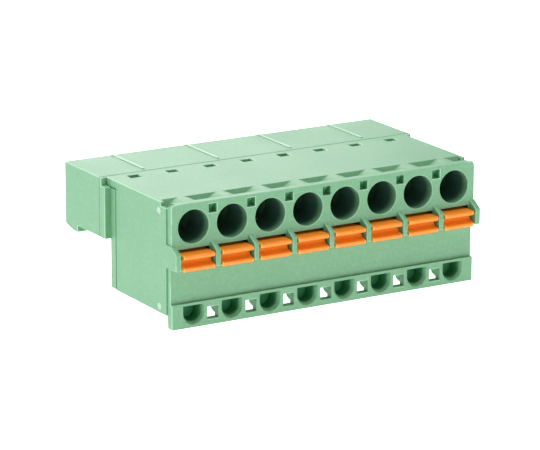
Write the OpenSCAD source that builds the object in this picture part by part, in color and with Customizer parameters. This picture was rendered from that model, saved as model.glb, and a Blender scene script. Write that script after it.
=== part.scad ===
// Pluggable terminal block: push-in wire entries with a lever at each pole, and a pin socket behind.
// X runs along the row of poles, +Y from the wire side to the socket side, +Z up.
// The origin is under the middle of the overall box, on the surface the block stands on.

/* [Poles] */
// Number of poles
poles = 8; // [2:1:8]
// Distance between neighbouring poles
pitch = 5.08; // [5.08:0.01:7.62]

/* [Front plate] */
// Height of the front plate and of the whole block
plate_h = 14.75; // [14.5:0.05:15.5]
// Thickness of the front plate
plate_t = 1.0; // [0.8:0.05:1.2]
// Width of the plate beyond the outer pole spaces, at each end
plate_margin = 0.34; // [0.2:0.01:0.38]
// Rounding of the plate's upper corners
corner_r = 0.35; // [0.2:0.05:0.5]
// Depth of the recessed marker band across the plate
band_depth = 0.4; // [0.2:0.05:0.5]
// Height of the proud strip below the marker band
strip_h = 2.95; // [2.9:0.05:3.1]

/* [Body] */
// Width of the body beyond the outer pole spaces, at each end
body_margin = 0.48; // [0.4:0.01:0.6]
// Height of the body's underside above the plate's lower edge
body_bottom = 1.55; // [1.4:0.05:1.6]
// Depth at which the front housing's sides end
side_rear = 13.1; // [12.8:0.1:13.4]
// Depth of the seam on the top, where the roof ends
roof_rear = 15.6; // [15.2:0.1:16]
// Thickness of the roof's tongue over the rear housing
tongue_t = 0.95; // [0.8:0.05:1]
// Gap left along the seams between the two housings
seam_gap = 0.08; // [0.04:0.02:0.12]
// Thickness of the housing's outer walls
wall = 0.8; // [0.7:0.05:0.9]

/* [Wire entries] */
// Bore of a wire entry
entry_d = 4.0; // [3.6:0.1:4.2]
// Length of a wire entry, which is the thickness of the wall in front of the clamps
entry_depth = 4.6; // [4.4:0.1:4.8]
// Height of the wire entries' axis
entry_z = 11.95; // [11.9:0.05:12]
// Outside diameter of the tube round an entry
tube_d = 5.65; // [5.5:0.05:5.8]

/* [Levers] */
// Width of a lever
lever_w = 4.1; // [4:0.05:4.15]
// Height of a lever's upper face
lever_top = 9.05; // [9:0.05:9.1]
// Height of a lever's lower face
lever_bottom = 7.1; // [7.1:0.05:7.2]
// How far a lever stands out of the plate
lever_reach = 1.45; // [1.3:0.05:1.5]
// How far a lever is pushed in
lever_travel = 1.3; // [1:0.1:1.3]

/* [Ribs between the levers] */
// Width of a rib between two levers
rib_w = 0.64; // [0.5:0.02:0.7]
// Width of an end rib
end_rib_w = 0.7; // [0.6:0.02:0.8]
// How far the ribs stand out of the plate
rib_reach = 1.3; // [1.2:0.05:1.4]

/* [Test ports] */
// Width of a test port's mouth, and of its round lower end
port_w = 2.8; // [2.6:0.05:2.9]
// Height of a test port's flat upper edge
port_top = 2.62; // [2.5:0.02:2.7]
// Height of a test port's round lower edge
port_bottom = 0.32; // [0.3:0.02:0.4]
// How much narrower a port is behind its lead-in, on each side
lead_in = 0.25; // [0.15:0.05:0.3]

/* [Rear housing] */
// Depth at which the flange ends and the socket's sides begin
flange_rear = 14.35; // [14.2:0.05:14.6]
// Width of the socket beyond the body, at each end
socket_margin = 0.8; // [0.6:0.05:1]
// Depth of the socket's open end
socket_rear = 24.4; // [23.5:0.1:25]
// Height of the socket's underside
socket_bottom = 7.5; // [7.3:0.1:7.6]
// Thickness of the socket's walls
socket_wall = 1.0; // [0.9:0.05:1.1]

/* [Contacts and springs] */
// Width of a clamp cage
cage_w = 3.6; // [3.4:0.1:3.8]
// Thickness of a clamp cage's strip
cage_t = 0.6; // [0.5:0.05:0.7]
// Side of a square contact pin
pin_s = 1.0; // [0.8:0.05:1]
// Height of the pins' axis
pin_z = 11.1; // [10.8:0.1:11.4]
// Depth of the pins' tips
pin_tip = 22.4; // [21.5:0.1:22.8]
// Thickness of a clamp spring
spring_t = 0.35; // [0.3:0.05:0.4]

/* [Hidden] */
$fn = 48;
eps = 0.05;
green = [0.42, 0.68, 0.52];
orange = [0.96, 0.50, 0.12];
tinned = [0.80, 0.79, 0.75];
steel = [0.66, 0.67, 0.70];

row_w = poles * pitch;
plate_w = row_w + 2 * plate_margin;
body_w = row_w + 2 * body_margin;
socket_w = body_w + 2 * socket_margin;
mid_y = (socket_rear - lever_reach) / 2;

chamber_front = entry_depth;
chamber_w = 4.2;
chamber_top = plate_h - tongue_t;
chamber_bottom = body_bottom + wall;

valley_rear = 2.2;
pocket_rear = 3.05;
end_pocket_rear = 2.3;
end_wall_top = plate_h - 0.5;
valley_z = entry_z + sqrt(pow(tube_d / 2, 2) - pow(pitch / 2, 2));
end_wall_in = row_w / 2;
peep_w = 1.05;
peep_top = plate_h - 0.42;
latch_w = 1.45;
latch_front = 13.45;
latch_rear = 14.6;

seam_deep = 0.2;
socket_floor = 0.5;
ridge_w = 0.45;
ridge_h = 0.08;
ridge_front = roof_rear + 0.9;

slot_w = 4.3;
slot_top = 9.44;
band_top = 7.25;
slot_bottom = lever_bottom - 0.1;
rib_root_z = 10.0;
rib_nose_z = 9.3;

lead_depth = 0.5;
boss_rear = 2.6;
boss_wall = 0.35;
probe_rear = 4.9;
sight_w = 1.45;
sight_bottom = 0.68;
sight_top = 2.13;

cage_front = 5.0;
cage_rear = side_rear;
cage_bottom = chamber_bottom;
cage_top = chamber_top - 0.1;
loop_r = 1.2;
loop_y = 6.6;
leg_angle = 60;
foot_len = 4.5;
nose_y = 7.1;
tip_taper = 0.3;

function pole_x(i) = (i - (poles + 1) / 2) * pitch;
function gap_x(i) = (i - poles / 2) * pitch;

// ---- Building blocks ----

// Moves the drawing frame, whose zero is the plate's front face, to the block's own origin
module in_place() { translate([0, -mid_y, 0]) children(); }

// A box given by its limits
module block(x, y, z) {
    translate([x[0], y[0], z[0]]) cube([x[1] - x[0], y[1] - y[0], z[1] - z[0]]);
}

// A side-view outline in Y and Z, made w wide about x
module side_profile(x, w, points) {
    translate([x - w / 2, 0, 0]) rotate([90, 0, 90]) linear_extrude(w) polygon(points);
}

// A round bar or bore along Y
module rod_y(x, z, d, y) {
    translate([x, y[0], z]) rotate([-90, 0, 0]) cylinder(d = d, h = y[1] - y[0]);
}

module at_poles() { for (i = [1:poles]) translate([pole_x(i), 0, 0]) children(); }
module at_gaps() { for (i = [1:poles - 1]) translate([gap_x(i), 0, 0]) children(); }
module both_ends() { for (side = [0, 1]) mirror([side, 0, 0]) children(); }

// ---- Front housing ----

// The D shape of a test port, with its round end and sides moved out by grow
module port_outline(grow, top) {
    r = port_w / 2 + grow;
    centre_z = port_bottom + port_w / 2;
    intersection() {
        union() {
            translate([0, centre_z]) circle(r);
            translate([-r, centre_z]) square([2 * r, r]);
        }
        translate([-r, centre_z - r]) square([2 * r, top - centre_z + r]);
    }
}

module along_y(y) {
    translate([0, y[1], 0]) rotate([90, 0, 0]) linear_extrude(y[1] - y[0]) children();
}

// The plate, with its upper corners rounded
module plate_outline() {
    translate([-plate_w / 2, 0]) square([plate_w, plate_h - corner_r]);
    translate([corner_r - plate_w / 2, 0]) square([plate_w - 2 * corner_r, plate_h]);
    both_ends() translate([plate_w / 2 - corner_r, plate_h - corner_r]) circle(corner_r);
}

// A guard rib: level underside, sloping top
module rib(x, w) {
    side_profile(x, w, [[eps, rib_root_z], [-rib_reach + 0.15, rib_nose_z], [-rib_reach, rib_nose_z - 0.15],
                        [-rib_reach, band_top], [eps, band_top]]);
}

module front_solid() {
    along_y([0, plate_t]) plate_outline();
    block([-body_w / 2, body_w / 2], [plate_t, side_rear], [body_bottom, plate_h]);
    block([-body_w / 2, body_w / 2], [side_rear - eps, roof_rear], [plate_h - tongue_t, plate_h]);
    for (i = [1:poles - 1]) rib(gap_x(i), rib_w);
    both_ends() {
        rib(body_w / 2 - end_rib_w / 2, end_rib_w);
        block([plate_w / 2 - eps, body_w / 2], [-eps, plate_t + eps], [band_top, rib_root_z]);
    }
    at_poles() along_y([plate_t, boss_rear]) difference() {
        port_outline(boss_wall - lead_in, port_top + boss_wall);
        translate([-pitch, body_bottom + eps]) square([2 * pitch, port_top]);
    }
}

// The valleys left between the round tubes behind the plate's upper edge
module top_pockets() {
    difference() {
        side_profile(0, row_w, [[plate_t, entry_z], [valley_rear, entry_z], [valley_rear, valley_z],
                                [pocket_rear, plate_h], [pocket_rear, plate_h + eps], [plate_t, plate_h + eps]]);
        at_poles() rod_y(0, entry_z, tube_d, [0, pocket_rear + eps]);
    }
    both_ends() {
        block([end_wall_in - eps, body_w / 2 + eps], [plate_t, end_pocket_rear], [end_wall_top, plate_h + eps]);
        side_profile((end_wall_in + body_w / 2) / 2, body_w / 2 - end_wall_in + 0.5,
                     [[plate_t - 0.75, plate_h + eps], [plate_t - 0.75, plate_h],
                      [plate_t, end_wall_top], [plate_t + eps, end_wall_top], [plate_t + eps, plate_h + eps]]);
    }
}

// A port with a lead-in along its sides and round end, and a slot behind it for the probe
module test_port() {
    r = port_w / 2;
    centre_z = port_bottom + r;
    along_y([-eps, boss_rear - boss_wall]) port_outline(-lead_in, port_top);
    intersection() {
        union() {
            translate([0, -eps, centre_z]) rotate([-90, 0, 0])
                cylinder(r1 = r + eps / 2, r2 = r - lead_in, h = lead_depth + eps);
            translate([0, 0, centre_z]) linear_extrude(r)
                polygon([[-r - eps / 2, -eps], [r + eps / 2, -eps], [r - lead_in, lead_depth],
                         [lead_in - r, lead_depth]]);
        }
        block([-port_w, port_w], [-2 * eps, plate_t], [0, port_top]);
    }
    block([lead_in - r, r - lead_in], [plate_t, probe_rear], [chamber_bottom - 0.4, port_top]);
}

module front_cuts() {
    block([-plate_w / 2 - eps, plate_w / 2 + eps], [-eps, band_depth], [strip_h, band_top]);
    top_pockets();
    at_poles() {
        rod_y(0, entry_z, entry_d, [-eps, chamber_front + eps]);
        block([-chamber_w / 2, chamber_w / 2], [chamber_front, side_rear + eps], [chamber_bottom, chamber_top]);
        block([-slot_w / 2, slot_w / 2], [-eps, chamber_front + eps], [slot_bottom, slot_top]);
        block([-latch_w / 2, latch_w / 2], [latch_front, latch_rear], [chamber_top - 1, plate_h + eps]);
        test_port();
    }
    at_gaps() {
        block([-peep_w / 2, peep_w / 2], [-eps, plate_t + eps], [peep_top - peep_w, peep_top]);
        block([-sight_w / 2, sight_w / 2], [-eps, 2 * plate_t], [sight_bottom, sight_top]);
    }
    both_ends() for (z = [body_bottom + 0.6, plate_h - 1.2])
        translate([body_w / 2 - 0.15, 2.8, z]) rotate([0, 90, 0]) cylinder(d1 = 0.5, d2 = 1.1, h = 0.15 + 0.01);
}

module front_housing() {
    color(green) in_place() difference() {
        front_solid();
        front_cuts();
    }
}

// ---- Rear housing ----

module rear_solid() {
    block([-body_w / 2, body_w / 2], [side_rear, flange_rear + eps], [body_bottom, plate_h - tongue_t]);
    block([-socket_w / 2, socket_w / 2], [flange_rear, socket_rear], [socket_bottom, plate_h]);
    // Coding rib under the open end
    side_profile(0, socket_w, [[socket_rear, socket_bottom + eps], [socket_rear, socket_bottom - 0.35],
                               [socket_rear - 2, socket_bottom - 0.8], [socket_rear - 3.1, socket_bottom - 0.8],
                               [socket_rear - 3.1, socket_bottom + eps]]);
    // Fine ridges along the roof, at every second pole
    for (i = [1:2:poles - 1])
        block([gap_x(i) - ridge_w / 2, gap_x(i) + ridge_w / 2], [ridge_front, socket_rear],
              [plate_h - eps, plate_h + ridge_h]);
}

// Sloping noses that catch in the roof's windows
module snap_noses() {
    at_poles() side_profile(0, latch_w - 0.25, [
        [latch_front + 0.1, plate_h - tongue_t - eps], [latch_rear - 0.1, plate_h - tongue_t - eps],
        [latch_rear - 0.1, plate_h - 0.4], [latch_front + 0.1, plate_h - 0.8]]);
}

module rear_cuts() {
    // Step for the front housing's tongue, and the notches at its corners
    block([-body_w / 2, body_w / 2], [flange_rear - eps, roof_rear + seam_gap], [plate_h - tongue_t, plate_h + eps]);
    both_ends() {
        block([body_w / 2 - eps, socket_w / 2 + eps], [flange_rear - eps, flange_rear + 0.9],
              [plate_h - tongue_t, plate_h + eps]);
        // Open lines along the side seam and under the tongue
        block([body_w / 2 - seam_deep, body_w / 2 + eps], [side_rear - eps, side_rear + seam_gap],
              [body_bottom - eps, plate_h]);
        block([body_w / 2 - seam_deep, body_w / 2 + eps], [side_rear - eps, flange_rear + 0.9],
              [plate_h - tongue_t - 1.5 * seam_gap, plate_h]);
    }
    // Socket
    block([-socket_w / 2 + socket_wall, socket_w / 2 - socket_wall],
          [roof_rear + socket_floor, socket_rear + eps],
          [socket_bottom + socket_wall, plate_h - socket_wall]);
    // Square holes that the pins pass through
    at_poles() block([-pin_s / 2, pin_s / 2], [side_rear - eps, roof_rear + 1], [pin_z - pin_s / 2, pin_z + pin_s / 2]);
}

module rear_housing() {
    color(green) in_place() difference() {
        rear_solid();
        rear_cuts();
    }
    color(green) in_place() snap_noses();
}

// ---- Levers ----

// Two lobes with a screwdriver groove between them, a shank, and a stop lug behind the wall
module lever(i) {
    tip = -lever_reach;
    mid_z = (lever_top + lever_bottom) / 2;
    color(orange) in_place() side_profile(pole_x(i), lever_w, [
        [tip + 0.25, lever_top], [tip + 0.05, lever_top - 0.1], [tip, lever_top - 0.2],
        [tip, lever_top - 0.42], [tip + 0.08, lever_top - 0.5],
        [tip + 1.0, mid_z + 0.1], [tip + 0.8, mid_z - 0.28],
        [tip + 0.08, lever_bottom + 0.48], [tip, lever_bottom + 0.4],
        [tip, lever_bottom + 0.18], [tip + 0.18, lever_bottom],
        [nose_y - 0.8, lever_bottom], [nose_y, lever_bottom + 0.7], [nose_y, lever_top - 0.4],
        [nose_y - 0.8, lever_top + 0.85], [chamber_front + 0.05, lever_top + 0.85],
        [chamber_front + 0.05, lever_top]]);
}

// ---- Clamps ----

// A flat strip bent into a cage open to the wire side, with a pin out of its back
module contact(i) {
    t = cage_t;
    half = pin_s / 2;
    color(tinned) in_place() {
        side_profile(pole_x(i), cage_w, [
            [cage_front, cage_top], [cage_rear, cage_top], [cage_rear, cage_bottom],
            [cage_front, cage_bottom], [cage_front, cage_bottom + t],
            [cage_rear - t, cage_bottom + t], [cage_rear - t, cage_top - t], [cage_front, cage_top - t]]);
        translate([pole_x(i), 0, pin_z]) difference() {
            block([-half, half], [cage_rear - eps, pin_tip], [-half, half]);
            for (turn = [0:90:270]) rotate([0, turn, 0]) tip_cutter();
        }
    }
}

// Takes the corner off one side of a pin's tip, leaving a taper one pin's width long
module tip_cutter() {
    translate([pin_s / 2 - tip_taper, pin_tip, -pin_s]) rotate([0, 0, atan(tip_taper / pin_s)])
        translate([0, -2 * pin_s, 0]) cube([pin_s, 3 * pin_s, 2 * pin_s]);
}

// A flat spring: foot on the cage's floor, a loop, and a leg that rises to the cage's roof
module spring(i) {
    w = cage_w - 0.4;
    loop_z = cage_bottom + cage_t + loop_r;
    root = leg_angle + 90;
    leg_rise = cage_top - cage_t - 0.1 - loop_z - loop_r * sin(root);
    leg_len = leg_rise / sin(leg_angle);
    color(steel) in_place() translate([pole_x(i) - w / 2, loop_y, loop_z]) rotate([90, 0, 90]) {
        rotate([0, 0, root]) {
            rotate_extrude(angle = 270 - root) translate([loop_r - spring_t, 0]) square([spring_t, w]);
            translate([loop_r - spring_t, -leg_len, 0]) cube([spring_t, leg_len, w]);
        }
        translate([0, -loop_r, 0]) cube([foot_len, spring_t, w]);
    }
}

// ---- The block ----

front_housing();
rear_housing();
for (i = [1:poles]) {
    lever(i);
    spring(i);
    contact(i);
}
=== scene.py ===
"""Looks of the pluggable terminal block: moulded green housings, orange levers, tinned contacts and steel springs.

Every piece is a merged copy of its CAD node with its outward edges rounded. Each one carries the attribute "edge"
that its material reads, 1 on the rounded edges and 0 on the faces.
"""
import math

import bmesh
import bpy
from mathutils import Matrix, Vector
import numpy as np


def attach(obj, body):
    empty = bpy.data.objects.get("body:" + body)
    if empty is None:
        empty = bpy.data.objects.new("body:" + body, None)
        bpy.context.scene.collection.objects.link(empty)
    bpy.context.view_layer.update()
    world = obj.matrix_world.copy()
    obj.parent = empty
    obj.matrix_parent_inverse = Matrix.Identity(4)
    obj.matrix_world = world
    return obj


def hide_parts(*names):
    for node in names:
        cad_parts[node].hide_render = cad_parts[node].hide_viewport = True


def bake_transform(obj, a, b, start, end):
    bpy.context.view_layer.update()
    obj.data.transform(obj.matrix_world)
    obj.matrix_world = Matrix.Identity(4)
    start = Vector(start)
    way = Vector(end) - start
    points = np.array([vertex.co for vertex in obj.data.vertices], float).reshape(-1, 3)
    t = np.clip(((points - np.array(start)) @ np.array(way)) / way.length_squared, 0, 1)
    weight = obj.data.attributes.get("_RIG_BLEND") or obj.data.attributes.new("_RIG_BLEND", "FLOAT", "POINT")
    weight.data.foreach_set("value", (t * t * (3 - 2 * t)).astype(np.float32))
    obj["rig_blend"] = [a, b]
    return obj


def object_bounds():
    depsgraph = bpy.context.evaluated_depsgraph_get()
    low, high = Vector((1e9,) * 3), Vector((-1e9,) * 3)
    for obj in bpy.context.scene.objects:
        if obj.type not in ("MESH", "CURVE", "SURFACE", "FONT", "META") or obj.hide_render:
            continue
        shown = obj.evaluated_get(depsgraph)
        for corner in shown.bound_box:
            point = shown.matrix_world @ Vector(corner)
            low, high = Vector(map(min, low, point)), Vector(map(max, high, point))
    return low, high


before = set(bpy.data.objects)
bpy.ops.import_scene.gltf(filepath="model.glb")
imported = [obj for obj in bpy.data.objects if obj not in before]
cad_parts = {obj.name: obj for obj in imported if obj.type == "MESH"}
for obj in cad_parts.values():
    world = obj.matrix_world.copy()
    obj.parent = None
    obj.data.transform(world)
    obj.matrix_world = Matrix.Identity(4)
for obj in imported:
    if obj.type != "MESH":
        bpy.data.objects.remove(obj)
CAD_LOW, CAD_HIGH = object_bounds()

MM = 0.001
CENTRE = (CAD_LOW + CAD_HIGH) / 2

# The block's measures in millimetres, as in its CAD source. Depths run from the front face to the rear.
POLES = 8
PITCH = 5.08
FRONT_Y = -11.475
TOP = 14.75
ROW_END = 20.3
ENTRY_Z = 11.95
ENTRY_R = 2.0
LEVER_LOW = 7.1
LEVER_HIGH = 9.05
PORT_LOW = 0.3
PORT_HIGH = 2.66
SEAM_DEPTH = 15.6
SEAM_GAP = 0.08
RIDGE_DEPTH = SEAM_DEPTH + 0.9
MARK_DEPTH = 2.8
MARK_HEIGHTS = (2.15, 13.55)
SPRING_BEND = (4.2, 7.9)


# ---------------------------------------------------------------- camera and stage

def aim_camera(azimuth, elevation, roll, distance, lens, aim):
    """A camera at distance from the point aim, turned by azimuth and elevation about it, in degrees."""
    az, el = math.radians(azimuth), math.radians(elevation)
    back = Vector((math.sin(az) * math.cos(el), -math.cos(az) * math.cos(el), math.sin(el)))
    turn = (-back).to_track_quat("-Z", "Y").to_matrix() @ Matrix.Rotation(math.radians(roll), 3, "Z")
    data = bpy.data.cameras.new("camera")
    data.lens = lens
    camera = bpy.data.objects.new("camera", data)
    camera.matrix_world = Matrix.Translation(aim + back * distance) @ turn.to_4x4()
    data.clip_start, data.clip_end = distance * 0.1, distance * 10
    bpy.context.scene.collection.objects.link(camera)
    bpy.context.scene.camera = camera


def soft_light(name, offset, size, power):
    """A square area light at offset from the block's centre, facing it."""
    data = bpy.data.lights.new(name, "AREA")
    data.size, data.energy = size, power
    light = bpy.data.objects.new(name, data)
    light.location = CENTRE + Vector(offset)
    light.rotation_mode = "QUATERNION"
    light.rotation_quaternion = (-Vector(offset)).to_track_quat("-Z", "Y")
    bpy.context.scene.collection.objects.link(light)


# ---------------------------------------------------------------- shader maths

class Value:
    """A shader socket that takes part in Python arithmetic: each operator adds a Math node."""

    def __init__(self, shader, socket):
        self.shader, self.socket = shader, socket

    def _math(self, operation, *operands):
        return self.shader.node("ShaderNodeMath", {"operation": operation}, dict(enumerate(operands)))

    def __add__(self, other): return self._math("ADD", self, other)
    def __radd__(self, other): return self._math("ADD", other, self)
    def __sub__(self, other): return self._math("SUBTRACT", self, other)
    def __rsub__(self, other): return self._math("SUBTRACT", other, self)
    def __mul__(self, other): return self._math("MULTIPLY", self, other)
    def __rmul__(self, other): return self._math("MULTIPLY", other, self)
    def __pow__(self, other): return self._math("POWER", self, other)

    def above(self, limit, soft):
        """1 above the limit and 0 below it, smooth over soft to either side."""
        return self.shader.ramp(self, limit - soft, limit + soft)

    def below(self, limit, soft):
        return 1 - self.above(limit, soft)

    def between(self, low, high, soft=0.02):
        return self.above(low, soft) * self.below(high, soft)

    def folded(self, length):
        """The distance from the nearest even multiple of length."""
        return self.shader.node("ShaderNodeMath", {"operation": "PINGPONG"}, {0: self, 1: length})


class Shader:
    """A material's node tree with one Principled surface."""

    def __init__(self, name):
        self.material = bpy.data.materials.new(name)
        self.material.use_nodes = True
        self.tree = self.material.node_tree
        self.surface = self.tree.nodes["Principled BSDF"]
        self.place = self.node("ShaderNodeTexCoord", out="Object")

    def node(self, kind, settings=None, inputs=None, out=0):
        """Adds a node of that kind: settings first, then values or links for its inputs. Returns one output."""
        made = self.tree.nodes.new(kind)
        for key, value in (settings or {}).items():
            setattr(made, key, value)
        for key, value in (inputs or {}).items():
            self.feed(made.inputs[key], value)
        return Value(self, made.outputs[out])

    def feed(self, socket, value):
        if isinstance(value, Value):
            self.tree.links.new(value.socket, socket)
        else:
            socket.default_value = value

    def ramp(self, value, low, high):
        """0 at low and below, 1 at high and above, smooth between them."""
        return self.node("ShaderNodeMapRange", {"interpolation_type": "SMOOTHSTEP"},
                         {"Value": value, "From Min": low, "From Max": high})

    def noise(self, size, detail=3.0, rough=0.5, place=None):
        """Cloudy noise from 0 to 1 whose blotches are about size metres across."""
        return self.node("ShaderNodeTexNoise", {},
                         {"Vector": place or self.place, "Scale": 1 / size, "Detail": detail, "Roughness": rough})

    def stretched(self, along, across):
        """Object coordinates scaled so that noise of size 1 is drawn out: along X, and across in Y and Z."""
        return self.node("ShaderNodeVectorMath", {"operation": "MULTIPLY"},
                         {0: self.place, 1: (1 / along, 1 / across, 1 / across)})

    def attribute(self, name):
        return self.node("ShaderNodeAttribute", {"attribute_name": name}, out="Fac")

    def mix(self, factor, first, second):
        """First where factor is 0, second where it is 1; both are colours."""
        colours = {6: first, 7: second}
        inputs = {key: c if isinstance(c, Value) else (*c, 1) for key, c in colours.items()}
        return self.node("ShaderNodeMix", {"data_type": "RGBA"}, {0: factor, **inputs}, out=2)

    def bump(self, height, depth):
        """A normal from a height that runs from 0 to 1 over depth metres."""
        return self.node("ShaderNodeBump", {}, {"Height": height, "Distance": depth, "Strength": 1.0})

    def finish(self, **inputs):
        for key, value in inputs.items():
            self.feed(self.surface.inputs[key.replace("_", " ")], value)
        return self.material


class Place:
    """Where a point of the part lies, in millimetres: x along the row, depth behind the front face, height z, across
    along the row from the nearest pole's axis, and axis_squared, the distance from an entry's axis, squared."""

    def __init__(self, s):
        self.x, y, self.z = (s.node("ShaderNodeSeparateXYZ", {}, {0: s.place}, out=axis) * 1000 for axis in range(3))
        self.depth = y - FRONT_Y
        self.across = PITCH / 2 - self.x.folded(PITCH / 2)
        self.axis_squared = self.across ** 2 + (self.z - ENTRY_Z) ** 2


def painted_recess_shade(at):
    """Painted shade: 1 deep in the wire entries and lever slots and in the open seams, less along the roof's seam."""
    entry = at.axis_squared.below(ENTRY_R ** 2 + 0.25, 0.15) * at.depth.above(0.9, 0.7)
    slot = at.across.below(2.2, 0.03) * at.z.between(LEVER_LOW - 0.15, LEVER_HIGH + 0.45, 0.03)
    slot = slot * at.depth.above(0.2, 0.15)
    seam = at.depth.between(SEAM_DEPTH - 0.01, SEAM_DEPTH + SEAM_GAP + 0.01, 0.005) * at.z.below(TOP - 0.03, 0.03)
    roof_seam = at.depth.between(SEAM_DEPTH - 0.10, SEAM_DEPTH + SEAM_GAP + 0.10, 0.06) * at.z.above(TOP - 0.03, 0.02)
    front = (entry + slot) * at.depth.below(6.0, 1.0) * at.x.between(-ROW_END, ROW_END)
    return front + seam + roof_seam * 0.75


def painted_port_window_shade(at):
    """Painted shade: 1 deep in the test ports and in the small upper windows, kept green where light comes through
    the thin walls.
    """
    port = at.across.below(1.45, 0.05) * at.z.between(PORT_LOW, PORT_HIGH)
    port = port * at.depth.above(0.75, 0.55) * at.depth.below(6.0, 1.0)
    window = at.across.above(1.95, 0.35) * at.z.between(13.0, 14.2, 0.35)
    window = window * at.depth.above(0.12, 0.08) * at.depth.below(2.0, 0.9)
    return (port + window) * at.x.between(-ROW_END, ROW_END)


def painted_glints(at):
    """Painted highlight: 1 in the middle of the four ejector marks on the ends, less on the roof's fine ridges, where
    they catch the light.
    """
    low, high = (((at.depth - MARK_DEPTH) ** 2 + (at.z - height) ** 2).below(0.20, 0.08) for height in MARK_HEIGHTS)
    side = at.x.above(ROW_END + 0.2, 0.05) + at.x.below(-ROW_END - 0.2, 0.05)
    from_ridge = (at.x + PITCH).folded(PITCH)
    ridge = from_ridge.below(0.35, 0.15) * at.x.between(-18, 18) * at.depth.above(RIDGE_DEPTH, 0.1)
    return ridge * at.z.above(TOP - 0.1, 0.02) * 0.6 + (low + high) * side


def rims_without_highlight(at):
    """1 on the rims of the test ports, about half on those of the wire entries and on the ribs between the levers,
    where the painted edge highlight is held back."""
    port = at.across.below(1.8, 0.05) * at.z.between(PORT_LOW - 0.2, PORT_HIGH + 0.09)
    entry = at.axis_squared.below((ENTRY_R + 0.3) ** 2, 0.1)
    rib = at.across.above(1.9, 0.05) * at.z.between(LEVER_LOW - 1.5, LEVER_HIGH + 1.05)
    return (port + entry * 0.5 + rib * 0.55) * at.depth.below(3.0, 0.5)


def painted_groove_shadow(at):
    """Painted shadow: 1 in the screwdriver groove between a lever's two lobes just under the upper one, less lower
    down.
    """
    return at.z.between(LEVER_LOW + 0.52, LEVER_HIGH - 0.47, 0.06) * (0.6 + 0.4 * at.z.above(LEVER_HIGH - 0.75, 0.2))


def moulded_plastic(name, colour, pale, deep, gloss, housing=False):
    """Satin moulded polyamide: fine spark-eroded grain, faint flow clouds, painted edge highlights and a few dull
    scuffs.
    A housing also has painted shade in its recesses and painted glints on its marks; a lever has a painted shadow in
    its groove."""
    s = Shader(name)
    at = Place(s)
    edge = s.attribute("edge")
    clouds = s.noise(9 * MM, 4.0)
    speckle = s.noise(0.35 * MM, 2.0)
    fine = s.noise(0.12 * MM, 2.0)
    scuff = s.noise(1.0, 2.0, place=s.stretched(1.6 * MM, 0.16 * MM)).above(0.77, 0.03)
    base = s.mix(clouds.above(0.5, 0.35) * 0.5, colour, deep)
    base = s.mix(speckle.above(0.6, 0.2) * 0.12, base, pale)
    # painted highlight: rounded edges mixed toward the pale colour, less on the rims
    edge_highlight = edge * (1 - rims_without_highlight(at) * 0.9) if housing else edge
    base = s.mix(edge_highlight * 0.75, base, pale)
    base = s.mix(scuff * 0.10, base, pale)
    rough = gloss + clouds * 0.10 + scuff * 0.15 - edge * 0.06
    if housing:
        deep_shade, green_shade = painted_recess_shade(at), painted_port_window_shade(at)
        # painted highlight: near-white glints on the ejector marks and the roof's ridges
        base = s.mix(painted_glints(at) * 0.55, base, tuple(0.4 + 0.6 * c for c in pale))
        # painted shade: the test ports and upper windows mixed toward a dark saturated green
        base = s.mix(green_shade * 0.85, base, (0.006, 0.200, 0.058))
        # painted shade: the entries, lever slots and seams mixed toward a deep blue-green
        base = s.mix(deep_shade * 0.85, base, (0.014, 0.068, 0.054))
        rough = rough + (deep_shade + green_shade) * 0.25
    else:
        # painted shadow: the groove under the lever's upper lobe darkened
        base = s.mix(painted_groove_shadow(at) * 0.32, base, tuple(0.45 * c for c in colour))
    return s.finish(Base_Color=base, Roughness=rough,
                    Normal=s.bump(fine + speckle * 0.6, 0.006 * MM),
                    Subsurface_Weight=0.1, Subsurface_Radius=(0.6, 1.0, 0.7), Subsurface_Scale=0.3 * MM,
                    Specular_IOR_Level=0.5)


def tinned_metal():
    """Matt tin plate: bright, softly clouded, with fine drawing lines along the strip."""
    s = Shader("tinned_contact")
    clouds = s.noise(1.5 * MM, 3.0)
    lines = s.noise(1.0, 2.0, place=s.stretched(0.05 * MM, 2 * MM))
    base = s.mix(clouds.above(0.5, 0.3), (0.66, 0.65, 0.61), (0.50, 0.49, 0.46))
    return s.finish(Base_Color=base, Metallic=1.0, Roughness=0.30 + clouds * 0.2 - s.attribute("edge") * 0.1,
                    Normal=s.bump(lines, 0.002 * MM))


def spring_steel():
    """Rolled spring steel: darker and glossier than the tin plate, with rolling lines across the strip."""
    s = Shader("spring_steel")
    clouds = s.noise(1.0 * MM, 3.0)
    lines = s.noise(1.0, 2.0, place=s.stretched(3 * MM, 0.04 * MM))
    base = s.mix(clouds.above(0.5, 0.3), (0.46, 0.46, 0.48), (0.34, 0.34, 0.37))
    return s.finish(Base_Color=base, Metallic=1.0, Roughness=0.24 + clouds * 0.16 - s.attribute("edge") * 0.08,
                    Normal=s.bump(lines, 0.002 * MM))


def pale_floor():
    """A matt pale board that glows a little, like the paper sweep on a light table."""
    s = Shader("pale_floor")
    paper = s.noise(2 * MM, 3.0)
    return s.finish(Base_Color=s.mix(paper, (0.60, 0.60, 0.60), (0.63, 0.63, 0.63)), Roughness=0.9,
                    Emission_Color=(1, 1, 1, 1), Emission_Strength=1.25)


# ---------------------------------------------------------------- pieces

def merged_copy(node):
    """The node's solid as one welded bmesh, with the flat faces' triangles joined into whole faces."""
    made = bmesh.new()
    made.from_mesh(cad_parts[node].data)
    bmesh.ops.remove_doubles(made, verts=made.verts, dist=0.002 * MM)
    bmesh.ops.dissolve_limit(made, angle_limit=math.radians(0.5), verts=made.verts, edges=made.edges)
    return made


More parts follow.
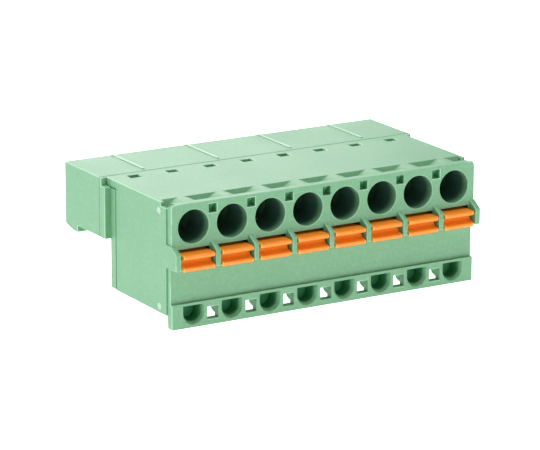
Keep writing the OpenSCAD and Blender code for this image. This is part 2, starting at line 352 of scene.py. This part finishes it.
def has_room(edge, reach):
    """Whether both faces beside an edge leave it room to be rounded: no other edge of theirs runs beside it within
    reach, and neither face is pinched to a thin point at one of its ends."""
    start, end = (v.co for v in edge.verts)
    along = (end - start).normalized()
    length = (end - start).length
    for face in edge.link_faces:
        for other in face.edges:
            if other is edge:
                continue
            shared = [v for v in edge.verts if v in other.verts]
            if shared:
                corner = shared[0]
                ways = [e.other_vert(corner).co - corner.co for e in (edge, other)]
                if ways[0].angle(ways[1], 0) < math.radians(35):
                    return False
                continue
            spans = sorted((v.co - start).dot(along) for v in other.verts)
            low, high = max(spans[0], 0), min(spans[1], length)
            if high - low < 0.01 * MM:
                continue
            a, b = (v.co for v in other.verts)
            run = (b - a).dot(along)
            if abs(run) < 1e-9:
                continue
            for at in (low, high):
                there = a + (b - a) * ((at - (a - start).dot(along)) / run)
                if (there - (start + along * at)).length < reach:
                    return False
    return True


def round_edges(made, radius, clamp, sharp=40):
    """Rounds every outward edge sharper than so many degrees that has room for it, and marks the new faces as edge.
    With clamp, the radius shrinks to what the tightest of them takes."""
    edge_mark = made.faces.layers.float.new("edge")
    chosen = [e for e in made.edges if e.is_manifold and e.calc_face_angle_signed(0) > math.radians(sharp)
              and has_room(e, 2.2 * radius)]
    made_faces = bmesh.ops.bevel(made, geom=chosen, offset=radius, offset_type="OFFSET", segments=2, profile=0.5,
                                 affect="EDGES", clamp_overlap=clamp)["faces"]
    for face in made_faces:
        face[edge_mark] = 1.0


def mark_sharp(made, curved=24, rounded=60):
    """Leaves an edge smooth below so many degrees: less on curved walls, more where a rounded edge meets a face."""
    edge_mark = made.faces.layers.float["edge"]
    for edge in made.edges:
        limit = rounded if any(face[edge_mark] for face in edge.link_faces) else curved
        edge.smooth = edge.is_manifold and edge.calc_face_angle(0) < math.radians(limit)


def cut_into_slices(made, low, high, count):
    """Cuts level lines across a piece between two heights, so that it can bend there."""
    for step in range(count + 1):
        height = low + (high - low) * step / count
        bmesh.ops.bisect_plane(made, geom=made.verts[:] + made.edges[:] + made.faces[:], dist=1e-7,
                               plane_co=(0, 0, height), plane_no=(0, 0, 1))


def piece(node, body, material, radius, clamp=True, bend=None):
    """A finished stand-in for one CAD node. It rides on its body, or with bend, which is another body and the two
    heights between which it turns from the first to the second, it bends between them."""
    made = merged_copy(node)
    round_edges(made, radius, clamp)
    if bend:
        cut_into_slices(made, bend[1], bend[2], 12)
    mark_sharp(made)
    mesh = bpy.data.meshes.new(node + "_look")
    made.to_mesh(mesh)
    made.free()
    mesh.materials.append(material)
    obj = bpy.data.objects.new(node + "_look", mesh)
    bpy.context.scene.collection.objects.link(obj)
    mesh.shade_smooth()
    weighted = obj.modifiers.new("flat faces stay flat", "WEIGHTED_NORMAL")
    weighted.keep_sharp = True
    weighted.weight = 100
    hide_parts(node)
    if bend:
        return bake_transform(obj, body, bend[0], (0, 0, bend[1]), (0, 0, bend[2]))
    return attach(obj, body)


def build_block():
    green = moulded_plastic("green_polyamide", (0.140, 0.343, 0.184), (0.34, 0.63, 0.41), (0.122, 0.314, 0.167),
                            gloss=0.42, housing=True)
    orange = moulded_plastic("orange_lever", (0.90, 0.245, 0.010), (0.98, 0.45, 0.08), (0.82, 0.205, 0.008),
                             gloss=0.36)
    tin, steel = tinned_metal(), spring_steel()
    piece("front_housing", "block", green, 0.10 * MM, clamp=False)
    piece("rear_housing", "block", green, 0.10 * MM, clamp=False)
    for pole in range(1, POLES + 1):
        piece(f"lever_{pole}", f"lever_{pole}", orange, 0.12 * MM)
        piece(f"contact_{pole}", "block", tin, 0.05 * MM)
        piece(f"spring_{pole}", "block", steel, 0.03 * MM,
              bend=(f"lever_{pole}", *(height * MM for height in SPRING_BEND)))


def build_stage():
    size = 40 * (CAD_HIGH - CAD_LOW).length
    mesh = bpy.data.meshes.new("floor")
    corners = [(-size, -size, 0), (size, -size, 0), (size, size, 0), (-size, size, 0)]
    mesh.from_pydata([(x, y, CAD_LOW.z + z) for x, y, z in corners], [], [(0, 1, 2, 3)])
    mesh.materials.append(pale_floor())
    floor = bpy.data.objects.new("floor", mesh)
    bpy.context.scene.collection.objects.link(floor)
    world = bpy.data.worlds.new("studio")
    world.use_nodes = True
    background = world.node_tree.nodes["Background"]
    background.inputs["Color"].default_value = (1, 1, 1, 1)
    background.inputs["Strength"].default_value = 0.18
    bpy.context.scene.world = world
    bpy.context.scene.view_settings.view_transform = "Standard"
    soft_light("key_above", (-0.05, -0.02, 0.40), 0.35, 1.6)
    soft_light("sweep_behind", (0.10, 0.50, 0.16), 0.45, 2.15)
    soft_light("fill_left", (-0.45, 0.09, 0.12), 0.30, 0.83)
    soft_light("fill_front", (0.14, -0.50, 0.06), 0.40, 1.17)


aim_camera(azimuth=-30.815, elevation=15.344, roll=0.167, distance=386.68 * MM, lens=217.2,
           aim=Vector((-2.103, -2.137, 7.761)) * MM)
build_stage()
build_block()
